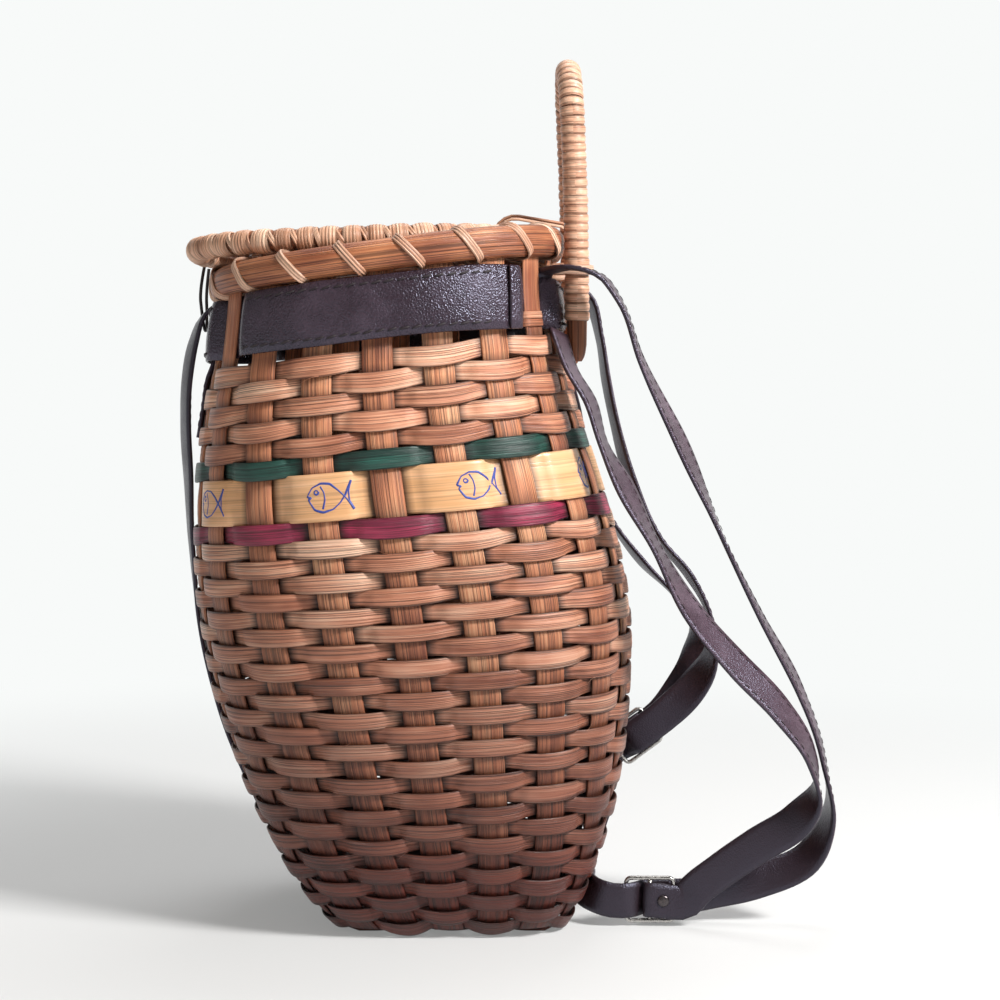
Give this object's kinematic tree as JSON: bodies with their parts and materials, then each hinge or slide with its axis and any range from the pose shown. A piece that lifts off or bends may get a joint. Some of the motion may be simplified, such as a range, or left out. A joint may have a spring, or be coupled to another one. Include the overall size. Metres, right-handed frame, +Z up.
{
  "type": "wicker fishing creel",
  "caption": "Woven reed basket with a bulging front, hinged oval wicker lid, arched carrying handle, leather neck band and leather shoulder straps with buckles.",
  "frame": {"origin": "underside of the base at the crossing of the two middle stakes", "axes": "+Z up, -X towards the bulging front, +X towards the steeper back with the handle and the straps"},
  "size_m": [0.3588, 0.2128, 0.4755],
  "materials": {
    "reed": "satin",
    "reed_maroon": "satin",
    "reed_cream": "satin",
    "reed_green": "satin",
    "cane": "satin",
    "leather": "satin",
    "nickel": "worn polish",
    "cord": "matt"
  },
  "bodies": {
    "basket": {"stakes_lengthwise": "reed", "stakes_crosswise": "reed", "weavers_foot": "reed", "weavers_lower": "reed", "weavers_middle": "reed", "weaver_maroon": "reed_maroon", "weaver_cream": "reed_cream", "weaver_green": "reed_green", "weavers_upper": "reed", "rim_reed_outer": "reed", "rim_reed_inner": "reed", "rim_lashing": "cane", "neck_band": "leather", "neck_band_lap": "leather", "front_strap": "leather", "near_strap": "leather", "near_strap_return": "leather", "near_buckle": "nickel", "far_strap": "leather", "far_strap_return": "leather", "far_buckle": "nickel", "strap_rivets": "nickel", "handle_grip": "cane", "handle_tails": "reed", "handle_bindings": "cane", "hinge_loops": "cane"},
    "lid": {"lid_border": "reed", "lid_splints": "reed", "lid_weavers": "reed", "closing_cord": "cord"}
  },
  "joints": [
    {"name": "lid_hinge", "type": "hinge", "parent": "basket", "child": "lid", "pos_m": [0.03431, 0, 0.37563], "axis": [0, 1, 0], "range_deg": [0, 95]}
  ]
}
